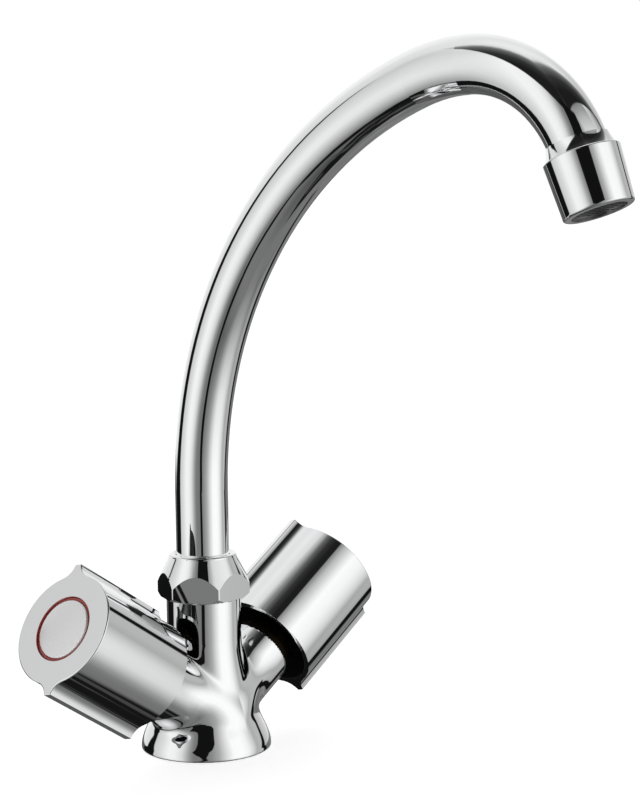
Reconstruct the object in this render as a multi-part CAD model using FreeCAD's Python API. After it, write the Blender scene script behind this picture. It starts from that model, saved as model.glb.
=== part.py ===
import FreeCAD, Part

import math
import os

# Two-handle kitchen mixer tap with a swivel spout, in millimetres and degrees.
# Z is up and stands on the deck at z = 0, the spout reaches towards -Y,
# the hot handle is on the -X side and the cold handle on the +X side.

# ---------------------------------------------------------------- clearances
RUNNING_FIT = 0.05          # radial play of a shaft that turns in its bore
THREAD_PLAY = 0.05          # radial play between two screwed threads
SEAT_PLAY = 0.05            # play of a piece laid in its recess
PRESS_FIT = 0.02            # between a pressed or brazed piece and its bore
FILM = 0.02                 # between two flat faces that slide
SPLINE_PLAY = 0.1
SPINDLE_END_PLAY = 0.1      # between the spindle's flange and the housing's shoulder
CIRCLIP_PLAY = 0.04         # below and above the circlip
INSERT_GAP = 0.16           # between the handle's insert and the foot of the splines
DISC_DRIVE_PLAY = 0.1       # on each side of the spindle's driving tongue
GLIDE_RING_PLAY = 0.2
COLLAR_PLAY = 0.1           # between the spout's collar and the nut
NUT_LIP_PLAY = 0.3          # between the nut's top opening and the tube

# ------------------------------------------------- how far drawn shapes reach
OVERRUN = 1.0               # of a cutting tool past the face it starts from
OVERLAP = 0.5               # of two shapes joined into one piece
ROUND_TOLERANCE = 0.01      # of a point counted as lying on a round surface

# ------------------------------------------------------------- body casting
BASE_RIM_RADIUS = 24.8      # bell-shaped foot
BASE_RIM_HEIGHT = 1.0       # height of the widest ring of the foot
BASE_EDGE_ROUND = 0.8
FOOT_BULGE_SHARE = 0.4      # outward share of the S-shaped flank between rim and waist
WAIST_RADIUS = 20.1
WAIST_HEIGHT = 14.5
COLUMN_RADIUS = 14.15
COLUMN_FOOT_HEIGHT = 43.0   # where the taper from the waist has become a cylinder
ARM_RADIUS = 13.6
ARM_TILT = 32.4             # of the handle axes above the deck
ARM_CROSS_HEIGHT = 13.3     # where both handle axes meet the spout axis
ARM_END = 35.5              # along the handle axis, like every arm dimension
ARM_EDGE_ROUND = 0.8
CROTCH_ROUND = 5.0          # casting fillet between the arms and the column
BASE_SEAL_RADIUS = 22.0
BASE_SEAL_WIDTH = 2.0
BASE_SEAL_DEPTH = 1.6

# ---------------------------------------------------------- water inlets
INLET_OFFSET = 9.5          # of each hose thread from the spout axis
INLET_THREAD_RADIUS = 4.46  # M10 x 1 for the supply hoses
INLET_THREAD_DEPTH = 11.0
INLET_PASSAGE_RADIUS = 3.5
STUD_OFFSET = 13.5          # M8 thread of the fixing stud, on the -Y side
STUD_THREAD_RADIUS = 3.4
STUD_THREAD_DEPTH = 12.0
MIXING_BORE_RADIUS = 7.0
MIXING_BORE_FLOOR = 27.5
MIXING_PORT_RADIUS = 3.0
MIXING_PORT_HEIGHT = 31.5
MIXING_PORT_REACH = 14.0

# ---------------------------------------------------------- valve cartridges
SEAT_DEPTH = 19.5           # of the valve seat below the end of the arm
CHAMBER_RADIUS = 9.3
VALVE_THREAD_RADIUS = 10.3  # G 1/2
VALVE_THREAD_LENGTH = 8.0
VALVE_THREAD_RELIEF = 0.5   # plain step below the thread
VALVE_SKIRT_RADIUS = 9.0
VALVE_SKIRT_BORE = 7.7
VALVE_FLANGE_RADIUS = 12.6
VALVE_FLANGE_THICKNESS = 2.0
VALVE_HEX_FLATS = 22.0
VALVE_HEX_LENGTH = 3.5
VALVE_NECK_RADIUS = 7.5
VALVE_NECK_LENGTH = 15.0
VALVE_WINDOW_WIDTH = 6.0
VALVE_WINDOW_LENGTH = 3.6
LIP_SEAL_THICKNESS = 2.0
LIP_SEAL_SQUASH = 0.5       # how deep the housing's skirt stands round the seal
LIP_SEAL_BORE = 4.5
DISC_RADIUS = 7.5
DISC_THICKNESS = 3.0
DISC_PORT_RADIUS = 2.0
DISC_PORT_OFFSET = 4.4
DRIVE_SLOT_WIDTH = 3.0
DRIVE_SLOT_DEPTH = 1.2
SPINDLE_FLANGE_THICKNESS = 2.0
SPINDLE_RADIUS = 4.5
SPINDLE_GROOVE_RADIUS = 3.3
SPINDLE_GROOVE_WIDTH = 1.5
SPINDLE_RING_SECTION = 0.58
SPINDLE_GROOVE_PLACES = (3.5, 8.5)   # above the valve flange
CIRCLIP_RADIUS = 6.2
CIRCLIP_THICKNESS = 0.8
CIRCLIP_GROOVE_RADIUS = 3.7
CIRCLIP_OPENING = 60.0
SPLINE_TEETH = 20
SPLINE_TIP_RADIUS = 4.2
SPLINE_ROOT_RADIUS = 3.7
SPLINE_LENGTH = 10.5
SCREW_THREAD_RADIUS = 2.1   # M5, down the end of the spindle
SCREW_THREAD_DEPTH = 9.0

# ------------------------------------------------------------------ handles
HANDLE_RIM = 39.1           # open end of the handle, along its axis
HANDLE_FACE = 84.5          # closed end
HANDLE_RADIUS = 21.1
HANDLE_WALL = 2.0
HANDLE_END_WALL = 2.2
HANDLE_FACE_ROUND = 0.5
RIDGE_TIP_RADIUS = 25.2
RIDGE_TIP_WIDTH = 3.1
RIDGE_FLANK_RADIUS = 6.8    # hollow flank between the ridge and the round side
RIDGE_EDGE_ROUND = 0.4
HOT_HANDLE_TURN = 12.5      # turn of the top ridge towards +Y when closed
COLD_HANDLE_TURN = 16.5
HANDLE_BOSS_RADIUS = 9.2
HANDLE_WEB_THICKNESS = 3.0
SCREW_WELL_RADIUS = 5.5
CUP_WALL = 2.2
CUP_FLOOR = 2.5
INSERT_RADIUS = 7.0
INSERT_LENGTH = 11.6
SCREW_SHANK_RADIUS = 2.0
SCREW_SHANK_LENGTH = 11.0
SCREW_HOLE_RADIUS = 2.7
SCREW_HEAD_RADIUS = 4.5
SCREW_HEAD_HEIGHT = 2.8
SCREW_SLOT_WIDTH = 1.2
SCREW_SLOT_LENGTH = 5.0
SCREW_SLOT_DEPTH = 1.6
INDEX_RECESS_RADIUS = 12.45
INDEX_RECESS_DEPTH = 3.7
INDEX_RING_WIDTH = 1.25
INDEX_RING_SINK = 0.9       # of the coloured ring below the handle's face
BUTTON_EDGE_SINK = 0.1
BUTTON_DOME = 0.5
BUTTON_WALL = 1.3

# ------------------------------------------------------- spout swivel and nut
NUT_FOOT = 58.8
NUT_HEIGHT = 16.6
NUT_FLATS = 31.0
NUT_CORNER_RADIUS = 17.75
NUT_FOOT_RADIUS = 16.3
NUT_FOOT_CHAMFER = 1.3
NUT_CORNER_LENGTH = 3.9     # of the upright corners between both chamfers
NUT_CROWN_RADIUS = 12.7
NUT_CROWN_ROUND = 1.0
NUT_CROWN_THICKNESS = 3.2
NUT_LIP_CHAMFER = 0.9
NUT_TURN = 26.0             # of one corner from -Y towards -X
COLUMN_THREAD_RADIUS = 13.15  # G 3/4
COLUMN_NECK_GAP = 0.3       # between the nut and the shoulder of the column
SWIVEL_BORE_RADIUS = 10.75
SWIVEL_FOOT = 45.0          # lower end of the spout's swivel foot
SWIVEL_BORE_RELIEF = 1.0    # free depth of the bore below it
SWIVEL_WATERWAY = 7.5
SWIVEL_COLLAR_RADIUS = 12.2
SWIVEL_COLLAR_THICKNESS = 2.0
SWIVEL_SPIGOT_LENGTH = 8.0
GLIDE_RING_THICKNESS = 1.0
SPOUT_RING_SECTION = 0.88
SPOUT_GROOVE_WIDTH = 2.2
SPOUT_GROOVE_RADIUS = 8.95
SPOUT_GROOVE_PLACES = (4.0, 12.0)    # above the lower end of the swivel foot

# -------------------------------------------------------------------- spout
TUBE_RADIUS = 10.0
TUBE_WALL = 1.25
BEND_START = 99.9          # height where the straight stem starts to bend
BEND_RADII = (160.3, 75.6, 46.3)     # of the tube's three bends, from the stem outwards
BEND_TURNS = (70.8, 17.4, 70.1)
SLEEVE_LENGTH = 4.6         # of the flared sleeve at the outlet
SLEEVE_TOP_RADIUS = 10.5
SLEEVE_FOOT_RADIUS = 12.0
SLEEVE_FLARE_RADIUS = 7.0
SLEEVE_THREAD_RADIUS = 11.0   # carries the screwed aerator housing
SLEEVE_THREAD_LENGTH = 6.0
HOUSING_GAP = 0.5           # from the end of the tube's bend to the housing
HOUSING_LENGTH = 19.6
HOUSING_TOP_RADIUS = 13.0
HOUSING_FOOT_RADIUS = 12.1
HOUSING_TOP_ROUND = 0.6
HOUSING_FOOT_ROUND = 1.0
HOUSING_LEDGE_RADIUS = 9.4    # the inner ledge that carries the cartridge
HOUSING_LEDGE_THICKNESS = 1.2
AERATOR_GASKET_THICKNESS = 1.6
AERATOR_GASKET_BORE = 7.6
CARTRIDGE_RADIUS = 10.2
CARTRIDGE_WALL = 1.0
CARTRIDGE_PLATE = 1.4
CARTRIDGE_HOLE_RADIUS = 0.8
CARTRIDGE_HOLE_COUNT = 10
CARTRIDGE_HOLE_CIRCLE = 5.6
MESH_THICKNESS = 0.8
MESH_SLOT_WIDTH = 0.7
MESH_SLOT_PITCH = 1.7


# ------------------------------------------------------------ drawing helpers
def vector(x, y, z=0.0):
    return FreeCAD.Vector(x, y, z)


Z_AXIS = vector(0, 0, 1)
ORIGIN = vector(0, 0, 0)


def rod(radius, low, high, x=0.0, y=0.0):
    """A round bar parallel to Z between two heights."""
    return Part.makeCylinder(radius, high - low, vector(x, y, low))


def ring(inner, outer, low, high):
    """A round ring or tube about Z between two heights."""
    return rod(outer, low, high).cut(rod(inner, low - OVERRUN, high + OVERRUN))


def block(width, depth, low, high, x=0.0, y=0.0):
    """A box centred on (x, y) between two heights."""
    corner = vector(x - width / 2, y - depth / 2, low)
    return Part.makeBox(width, depth, high - low, corner)


def bead(major, section, height):
    """An O-ring about Z."""
    return Part.makeTorus(major, section, vector(0, 0, height))


def hexagon(flats, low, high, turn=0.0):
    """A hexagonal bar about Z; turn places one corner, counted from +X."""
    radius = flats / math.sqrt(3)
    corners = []
    for step in range(7):
        angle = math.radians(turn + 60 * step)
        corners.append(vector(radius * math.cos(angle), radius * math.sin(angle), low))
    return Part.Face(Part.makePolygon(corners)).extrude(vector(0, 0, high - low))


def turned(start, *steps):
    """A solid turned about Z from an outline in (radius, height).

    A step of two numbers is a straight line to that point. A step of four is an
    arc through the first pair of numbers to the second.
    """
    edges = []
    here = vector(start[0], 0, start[1])
    for step in steps + (start,):
        end = vector(step[-2], 0, step[-1])
        if len(step) == 4:
            middle = vector(step[0], 0, step[1])
            edges.append(Part.Arc(here, middle, end).toShape())
        elif end.distanceToPoint(here) > 0:
            edges.append(Part.LineSegment(here, end).toShape())
        here = end
    return Part.Face(Part.Wire(edges)).revolve(ORIGIN, Z_AXIS, 360)


def ess(start, end, share=0.5):
    """Two tangent arcs from start to end, upright at both; share is the first's part."""
    across = end[0] - start[0]
    along = end[1] - start[1]
    turn = 2 * math.atan(abs(across / along))
    size = abs(along) / math.sin(turn)
    half = (math.copysign(size * (1 - math.cos(turn / 2)), across),
            math.copysign(size * math.sin(turn / 2), along))
    joint = (start[0] + share * across, start[1] + share * along)
    return ((start[0] + share * half[0], start[1] + share * half[1]) + joint,
            (end[0] - (1 - share) * half[0], end[1] - (1 - share) * half[1]) + tuple(end))


def corner_arc(corner, before, after):
    """A quarter-round step at a square corner, given as offsets to its two ends."""
    share = 1 - math.sqrt(1 / 2)
    middle = (corner[0] + share * (before[0] + after[0]),
              corner[1] + share * (before[1] + after[1]))
    end = (corner[0] + after[0], corner[1] + after[1])
    return middle + end


def save(name, shape):
    """Write one piece, or several like pieces of one node."""
    if not shape.isValid():
        raise ValueError(name + " is not a valid solid")
    shape.exportStep(os.path.join("parts", name + ".step"))


# -------------------------------------------------------------- local frames
def arm_frame(side, turn=0.0):
    """Puts a piece drawn along +Z on the handle axis of a side, -1 hot or +1 cold.

    Local +X points up and out of the arm, and the piece is first turned about its axis.
    """
    tilt = math.radians(ARM_TILT)
    axis = vector(side * math.cos(tilt), 0, math.sin(tilt))
    up = vector(-side * math.sin(tilt), 0, math.cos(tilt))
    across = axis.cross(up)
    frame = FreeCAD.Matrix(up.x, across.x, axis.x, 0,
                           up.y, across.y, axis.y, 0,
                           up.z, across.z, axis.z, ARM_CROSS_HEIGHT,
                           0, 0, 0, 1)
    spin = FreeCAD.Placement(ORIGIN, FreeCAD.Rotation(Z_AXIS, turn))
    return FreeCAD.Placement(frame).multiply(spin)


def placed(shape, placement):
    """A copy of a piece, moved from its own drawing frame to its place."""
    moved = shape.copy()
    moved.Placement = placement.multiply(moved.Placement)
    return moved


def spout_path():
    """The centre line of the spout tube as a wire, with its end point and direction."""
    here = vector(0, 0, TUBE_FOOT)
    bend_start = vector(0, 0, BEND_START)
    edges = [Part.LineSegment(here, bend_start).toShape()]
    here = bend_start
    turned_by = 0.0
    for radius, turn in zip(BEND_RADII, BEND_TURNS):
        centre = here + spout_normal(turned_by) * radius
        middle = centre - spout_normal(turned_by + turn / 2) * radius
        end = centre - spout_normal(turned_by + turn) * radius
        edges.append(Part.Arc(here, middle, end).toShape())
        here = end
        turned_by += turn
    return Part.Wire(edges), here, turned_by


def spout_normal(turned_by):
    """Towards the centre of the bend, after the spout has turned from upright."""
    angle = math.radians(turned_by)
    return vector(0, -math.cos(angle), -math.sin(angle))


def outlet_frame():
    """Puts a piece drawn along +Z on the outlet, with +Z the way the water leaves."""
    end, turned_by = spout_path()[1:]
    return FreeCAD.Placement(end, FreeCAD.Rotation(vector(1, 0, 0), turned_by))


# -------------------------------------------------------- dependent dimensions
NUT_TOP = NUT_FOOT + NUT_HEIGHT
NUT_SHOULDER = NUT_TOP - NUT_CROWN_THICKNESS
COLLAR_TOP = NUT_SHOULDER - GLIDE_RING_THICKNESS - FILM
COLLAR_FOOT = COLLAR_TOP - SWIVEL_COLLAR_THICKNESS
COLUMN_TOP = COLLAR_FOOT - GLIDE_RING_THICKNESS - FILM
COLUMN_SHOULDER = NUT_FOOT - COLUMN_NECK_GAP
TUBE_FOOT = COLLAR_TOP
TUBE_BORE = TUBE_RADIUS - TUBE_WALL
SWIVEL_RADIUS = SWIVEL_BORE_RADIUS - RUNNING_FIT

SEAT = ARM_END - SEAT_DEPTH
FIXED_DISC = SEAT + LIP_SEAL_THICKNESS
TURNING_DISC = FIXED_DISC + DISC_THICKNESS + FILM
SPINDLE_FLANGE = TURNING_DISC + DISC_THICKNESS + FILM
SPINDLE_SHOULDER = SPINDLE_FLANGE + SPINDLE_FLANGE_THICKNESS
VALVE_NECK_FOOT = ARM_END + VALVE_FLANGE_THICKNESS + VALVE_HEX_LENGTH
VALVE_TOP = VALVE_NECK_FOOT + VALVE_NECK_LENGTH
CIRCLIP = VALVE_TOP + CIRCLIP_PLAY
SPLINE_FOOT = CIRCLIP + CIRCLIP_THICKNESS + 2 * CIRCLIP_PLAY
SPINDLE_TOP = SPLINE_FOOT + SPLINE_LENGTH

INSERT_FOOT = SPLINE_FOOT + INSERT_GAP
WEB_FOOT = INSERT_FOOT + INSERT_LENGTH
WEB_TOP = WEB_FOOT + HANDLE_WEB_THICKNESS
RECESS_FLOOR = HANDLE_FACE - INDEX_RECESS_DEPTH
INDEX_RING_BORE = INDEX_RECESS_RADIUS - SEAT_PLAY - INDEX_RING_WIDTH
BUTTON_RADIUS = INDEX_RING_BORE - SEAT_PLAY

HOUSING_TOP = HOUSING_GAP
HOUSING_FOOT = HOUSING_TOP + HOUSING_LENGTH
THREAD_END = HOUSING_TOP + SLEEVE_THREAD_LENGTH
GASKET_END = THREAD_END + AERATOR_GASKET_THICKNESS
LEDGE_TOP = HOUSING_FOOT - HOUSING_LEDGE_THICKNESS
SIDES = (("hot", -1, HOT_HANDLE_TURN), ("cold", 1, -COLD_HANDLE_TURN))


# ------------------------------------------------------------- the fixed body
def casting_core():
    """The foot, waist and column as one turned shape, its seam away from the arms."""
    rim = (BASE_RIM_RADIUS, BASE_RIM_HEIGHT)
    waist = (WAIST_RADIUS, WAIST_HEIGHT)
    column = (COLUMN_RADIUS, COLUMN_FOOT_HEIGHT)
    edge = BASE_EDGE_ROUND
    foot_edge = corner_arc((BASE_RIM_RADIUS, 0), (-edge, 0), (0, edge))
    core = turned((0, 0),
                  (BASE_RIM_RADIUS - edge, 0), foot_edge, rim,
                  *ess(rim, waist, FOOT_BULGE_SHARE), *ess(waist, column),
                  (COLUMN_RADIUS, COLUMN_SHOULDER),
                  (COLUMN_THREAD_RADIUS, COLUMN_SHOULDER),
                  (COLUMN_THREAD_RADIUS, COLUMN_TOP),
                  (0, COLUMN_TOP))
    core.rotate(ORIGIN, Z_AXIS, 90)
    return core


def is_crotch(edge):
    """Whether an edge lies on the round side of an arm, away from its end."""
    middle = edge.valueAt((edge.FirstParameter + edge.LastParameter) / 2)
    for side in (-1, 1):
        local = arm_frame(side).inverse().multVec(middle)
        on_side = abs(math.hypot(local.x, local.y) - ARM_RADIUS) < ROUND_TOLERANCE
        if on_side and 0 < local.z < ARM_END - 2 * ARM_EDGE_ROUND:
            return True
    return False


def casting_blank():
    """The outer shape of the casting, with its fillets."""
    edge = ARM_EDGE_ROUND
    end_edge = corner_arc((ARM_RADIUS, ARM_END), (0, -edge), (-edge, 0))
    arm = turned((0, 0), (ARM_RADIUS, 0), (ARM_RADIUS, ARM_END - edge), end_edge, (0, ARM_END))
    blank = casting_core()
    for side in (-1, 1):
        blank = blank.fuse(placed(arm, arm_frame(side)))
    blank = blank.removeSplitter()
    crotches = [edge for edge in blank.Edges if is_crotch(edge)]
    return blank.makeFillet(CROTCH_ROUND, crotches)


def valve_bore(side):
    """What is drilled along one handle axis: passage, chamber and thread."""
    meeting = INLET_OFFSET / math.cos(math.radians(ARM_TILT))
    passage = rod(INLET_PASSAGE_RADIUS, meeting, SEAT + OVERRUN)
    chamber = rod(CHAMBER_RADIUS, SEAT, ARM_END + OVERRUN)
    thread = rod(VALVE_THREAD_RADIUS, ARM_END - VALVE_THREAD_LENGTH, ARM_END + OVERRUN)
    return placed(passage.fuse([chamber, thread]), arm_frame(side))


def body_casting():
    body = casting_blank()
    inlet_top = ARM_CROSS_HEIGHT + INLET_OFFSET * math.tan(math.radians(ARM_TILT))
    cuts = [rod(MIXING_BORE_RADIUS, MIXING_BORE_FLOOR, COLUMN_TOP + OVERRUN),
            rod(SWIVEL_BORE_RADIUS, SWIVEL_FOOT - SWIVEL_BORE_RELIEF, COLUMN_TOP + OVERRUN),
            rod(STUD_THREAD_RADIUS, -OVERRUN, STUD_THREAD_DEPTH, 0, -STUD_OFFSET),
            ring(BASE_SEAL_RADIUS - BASE_SEAL_WIDTH / 2 - SEAT_PLAY,
                 BASE_SEAL_RADIUS + BASE_SEAL_WIDTH / 2 + SEAT_PLAY, -OVERRUN, BASE_SEAL_DEPTH)]
    port = rod(MIXING_PORT_RADIUS, -MIXING_PORT_REACH, MIXING_PORT_REACH)
    port.rotate(ORIGIN, vector(0, 1, 0), 90)
    port.translate(vector(0, 0, MIXING_PORT_HEIGHT))
    cuts.append(port)
    for side in (-1, 1):
        offset = side * INLET_OFFSET
        cuts.append(rod(INLET_THREAD_RADIUS, -OVERRUN, INLET_THREAD_DEPTH, offset))
        cuts.append(rod(INLET_PASSAGE_RADIUS, 0, inlet_top, offset))
        cuts.append(Part.makeSphere(INLET_PASSAGE_RADIUS, vector(offset, 0, inlet_top)))
        cuts.append(valve_bore(side))
    return body.cut(cuts)


def base_seal():
    return ring(BASE_SEAL_RADIUS - BASE_SEAL_WIDTH / 2,
                BASE_SEAL_RADIUS + BASE_SEAL_WIDTH / 2, 0, BASE_SEAL_DEPTH)


def spout_nut():
    """The union nut: a hexagon cut by a long cone above and a chamfer below."""
    chamfer_top = NUT_FOOT + NUT_FOOT_CHAMFER
    cone_foot = chamfer_top + NUT_CORNER_LENGTH
    crown_edge = corner_arc((NUT_CROWN_RADIUS, NUT_TOP), (0, -NUT_CROWN_ROUND),
                            (-NUT_CROWN_ROUND, 0))
    envelope = turned((0, NUT_FOOT),
                      (NUT_FOOT_RADIUS, NUT_FOOT),
                      (NUT_CORNER_RADIUS, chamfer_top),
                      (NUT_CORNER_RADIUS, cone_foot),
                      (NUT_CROWN_RADIUS, NUT_TOP - NUT_CROWN_ROUND),
                      crown_edge,
                      (0, NUT_TOP))
    nut = envelope.common(hexagon(NUT_FLATS, NUT_FOOT, NUT_TOP, -90 - NUT_TURN))
    lip = TUBE_RADIUS + NUT_LIP_PLAY
    bore = turned((0, NUT_FOOT - OVERRUN),
                  (COLUMN_THREAD_RADIUS + THREAD_PLAY, NUT_FOOT - OVERRUN),
                  (COLUMN_THREAD_RADIUS + THREAD_PLAY, COLUMN_TOP),
                  (SWIVEL_COLLAR_RADIUS + COLLAR_PLAY, COLUMN_TOP),
                  (SWIVEL_COLLAR_RADIUS + COLLAR_PLAY, NUT_SHOULDER),
                  (lip, NUT_SHOULDER),
                  (lip, NUT_TOP - NUT_LIP_CHAMFER),
                  (lip + NUT_LIP_CHAMFER, NUT_TOP),
                  (0, NUT_TOP))
    return nut.cut(bore)


def glide_rings():
    """The two plastic rings between which the spout's collar turns."""
    outer = SWIVEL_COLLAR_RADIUS
    lower = ring(SWIVEL_RADIUS + GLIDE_RING_PLAY, outer,
                 COLUMN_TOP, COLUMN_TOP + GLIDE_RING_THICKNESS)
    upper = ring(TUBE_RADIUS + GLIDE_RING_PLAY, outer,
                 NUT_SHOULDER - GLIDE_RING_THICKNESS, NUT_SHOULDER)
    return {"swivel_ring_lower": lower, "swivel_ring_upper": upper}


# ------------------------------------------------ valve cartridges, on one axis
def valve_housing():
    """The brass headwork screwed into the arm, with its outlet windows."""
    skirt_foot = FIXED_DISC - LIP_SEAL_THICKNESS + LIP_SEAL_SQUASH
    thread_foot = ARM_END - VALVE_THREAD_LENGTH + VALVE_THREAD_RELIEF
    thread = VALVE_THREAD_RADIUS - THREAD_PLAY
    flange_top = ARM_END + VALVE_FLANGE_THICKNESS
    stem = SPINDLE_RADIUS + RUNNING_FIT
    shoulder = SPINDLE_SHOULDER + SPINDLE_END_PLAY
    housing = turned((VALVE_SKIRT_BORE, skirt_foot),
                     (VALVE_SKIRT_RADIUS, skirt_foot),
                     (VALVE_SKIRT_RADIUS, thread_foot),
                     (thread, thread_foot),
                     (thread, ARM_END),
                     (VALVE_FLANGE_RADIUS, ARM_END),
                     (VALVE_FLANGE_RADIUS, flange_top),
                     (VALVE_NECK_RADIUS, flange_top),
                     (VALVE_NECK_RADIUS, VALVE_TOP),
                     (stem, VALVE_TOP),
                     (stem, shoulder),
                     (VALVE_SKIRT_BORE, shoulder))
    spanner = hexagon(VALVE_HEX_FLATS, flange_top, VALVE_NECK_FOOT)
    spanner = spanner.cut(rod(stem, flange_top - OVERRUN, VALVE_NECK_FOOT + OVERRUN))
    window = block(4 * VALVE_SKIRT_RADIUS, VALVE_WINDOW_WIDTH,
                   TURNING_DISC, TURNING_DISC + VALVE_WINDOW_LENGTH)
    return housing.fuse(spanner).cut(window).removeSplitter()


def disc_ports(low, high, turn):
    """Two opposite water ports through a ceramic disc."""
    ports = []
    for half in (0, 180):
        angle = math.radians(turn + half)
        ports.append(rod(DISC_PORT_RADIUS, low, high, DISC_PORT_OFFSET * math.cos(angle),
                         DISC_PORT_OFFSET * math.sin(angle)))
    return ports


def lip_seal():
    return ring(LIP_SEAL_BORE, DISC_RADIUS, SEAT, FIXED_DISC)


def fixed_disc():
    disc = rod(DISC_RADIUS, FIXED_DISC, FIXED_DISC + DISC_THICKNESS)
    return disc.cut(disc_ports(FIXED_DISC - OVERRUN, FIXED_DISC + DISC_THICKNESS + OVERRUN, 0))


def turning_disc():
    """The upper ceramic disc; closed, its ports stand a quarter turn off the lower ones."""
    top = TURNING_DISC + DISC_THICKNESS
    disc = rod(DISC_RADIUS, TURNING_DISC, top)
    slot = block(DRIVE_SLOT_WIDTH, 4 * DISC_RADIUS, top - DRIVE_SLOT_DEPTH, top + OVERRUN)
    return disc.cut(disc_ports(TURNING_DISC - OVERRUN, top + OVERRUN, 90) + [slot])


def spline(tip, root, low, high):
    """A toothed bar about Z with straight-sided teeth."""
    corners = []
    for step in range(2 * SPLINE_TEETH + 1):
        radius = (tip, root)[step % 2]
        angle = math.pi * step / SPLINE_TEETH
        corners.append(vector(radius * math.cos(angle), radius * math.sin(angle), low))
    return Part.Face(Part.makePolygon(corners)).extrude(vector(0, 0, high - low))


def spindle_grooves():
    """Heights of the spindle's O-ring grooves along the handle axis."""
    return [ARM_END + place for place in SPINDLE_GROOVE_PLACES]


def spindle():
    """The spindle: a driving tongue and flange, the stem and the splined end."""
    drive_end = SPINDLE_FLANGE - DRIVE_SLOT_DEPTH + 2 * FILM
    drive = block(DRIVE_SLOT_WIDTH - 2 * DISC_DRIVE_PLAY, 2 * DISC_RADIUS,
                  drive_end, SPINDLE_FLANGE + OVERLAP)
    drive = drive.common(rod(DISC_RADIUS - SEAT_PLAY, drive_end, SPINDLE_FLANGE + OVERRUN))
    shape = rod(DISC_RADIUS, SPINDLE_FLANGE, SPINDLE_SHOULDER)
    shape = shape.fuse([drive, rod(SPINDLE_RADIUS, SPINDLE_SHOULDER, SPLINE_FOOT),
                        spline(SPLINE_TIP_RADIUS, SPLINE_ROOT_RADIUS, SPLINE_FOOT, SPINDLE_TOP)])
    half = SPINDLE_GROOVE_WIDTH / 2
    cuts = [ring(SPINDLE_GROOVE_RADIUS, SPINDLE_RADIUS + OVERRUN, height - half, height + half)
            for height in spindle_grooves()]
    cuts.append(ring(CIRCLIP_GROOVE_RADIUS, SPINDLE_RADIUS + OVERRUN, CIRCLIP - FILM,
                     CIRCLIP + CIRCLIP_THICKNESS + FILM))
    cuts.append(rod(SCREW_THREAD_RADIUS, SPINDLE_TOP - SCREW_THREAD_DEPTH, SPINDLE_TOP + OVERRUN))
    return shape.cut(cuts).removeSplitter()


def spindle_rings():
    major = SPINDLE_GROOVE_RADIUS + SPINDLE_RING_SECTION + PRESS_FIT
    rings = [bead(major, SPINDLE_RING_SECTION, height) for height in spindle_grooves()]
    return Part.makeCompound(rings)


def circlip():
    """The open clip that keeps the spindle from being pushed in."""
    clip = ring(CIRCLIP_GROOVE_RADIUS + SEAT_PLAY, CIRCLIP_RADIUS,
                CIRCLIP, CIRCLIP + CIRCLIP_THICKNESS)
    reach = 2 * CIRCLIP_RADIUS
    half = reach * math.tan(math.radians(CIRCLIP_OPENING / 2))
    low = CIRCLIP - OVERRUN
    wedge = Part.makePolygon([vector(0, 0, low), vector(reach, -half, low),
                              vector(reach, half, low), vector(0, 0, low)])
    return clip.cut(Part.Face(wedge).extrude(vector(0, 0, CIRCLIP_THICKNESS + 2 * OVERRUN)))


# --------------------------------------------------------- handle, on one axis
def ridge_flank():
    """Centre of the hollow flank's arc beside a ridge on +X, and the tip's corner."""
    half = RIDGE_TIP_WIDTH / 2
    far = HANDLE_RADIUS + RIDGE_FLANK_RADIUS
    tip = math.hypot(RIDGE_TIP_RADIUS, half)
    # The centre lies at these distances from the axis and from the tip's corner.
    along = (far ** 2 + tip ** 2 - RIDGE_FLANK_RADIUS ** 2) / (2 * tip)
    off = math.sqrt(far ** 2 - along ** 2)
    lean = math.atan2(half, RIDGE_TIP_RADIUS)
    centre = vector(along * math.cos(lean) - off * math.sin(lean),
                    along * math.sin(lean) + off * math.cos(lean))
    return centre, vector(RIDGE_TIP_RADIUS, half)


def ridge_half_outline():
    """Edges from the tip's corner down the hollow flank to the handle's round side."""
    centre, corner = ridge_flank()
    touch = centre * (HANDLE_RADIUS / centre.Length)
    middle = (corner + touch) * 0.5 - centre
    middle = centre + middle * (RIDGE_FLANK_RADIUS / middle.Length)
    return corner, middle, touch


def handle_outline():
    """The face of the handle: a circle with two opposite ridges on +X and -X."""
    corner, middle, touch = ridge_half_outline()

    def mirrored(point, x=1, y=1):
        return vector(x * point.x, y * point.y)

    edges = []
    for sign in (1, -1):
        points = [mirrored(touch, sign, -sign), mirrored(middle, sign, -sign),
                  mirrored(corner, sign, -sign), mirrored(corner, sign, sign),
                  mirrored(middle, sign, sign), mirrored(touch, sign, sign)]
        edges.append(Part.Arc(*points[:3]).toShape())
        edges.append(Part.LineSegment(points[2], points[3]).toShape())
        edges.append(Part.Arc(*points[3:]).toShape())
        side = vector(0, sign * HANDLE_RADIUS)
        edges.append(Part.Arc(points[5], side, mirrored(touch, -sign, sign)).toShape())
    return Part.Face(Part.Wire(edges))


def is_ridge_edge(edge):
    """Whether an edge runs along a corner of a ridge's tip."""
    first = edge.Vertexes[0].Point
    last = edge.Vertexes[-1].Point
    upright = abs(first.z - last.z) > HANDLE_WALL
    return upright and math.hypot(first.x, first.y) > RIDGE_TIP_RADIUS - SEAT_PLAY


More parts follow.
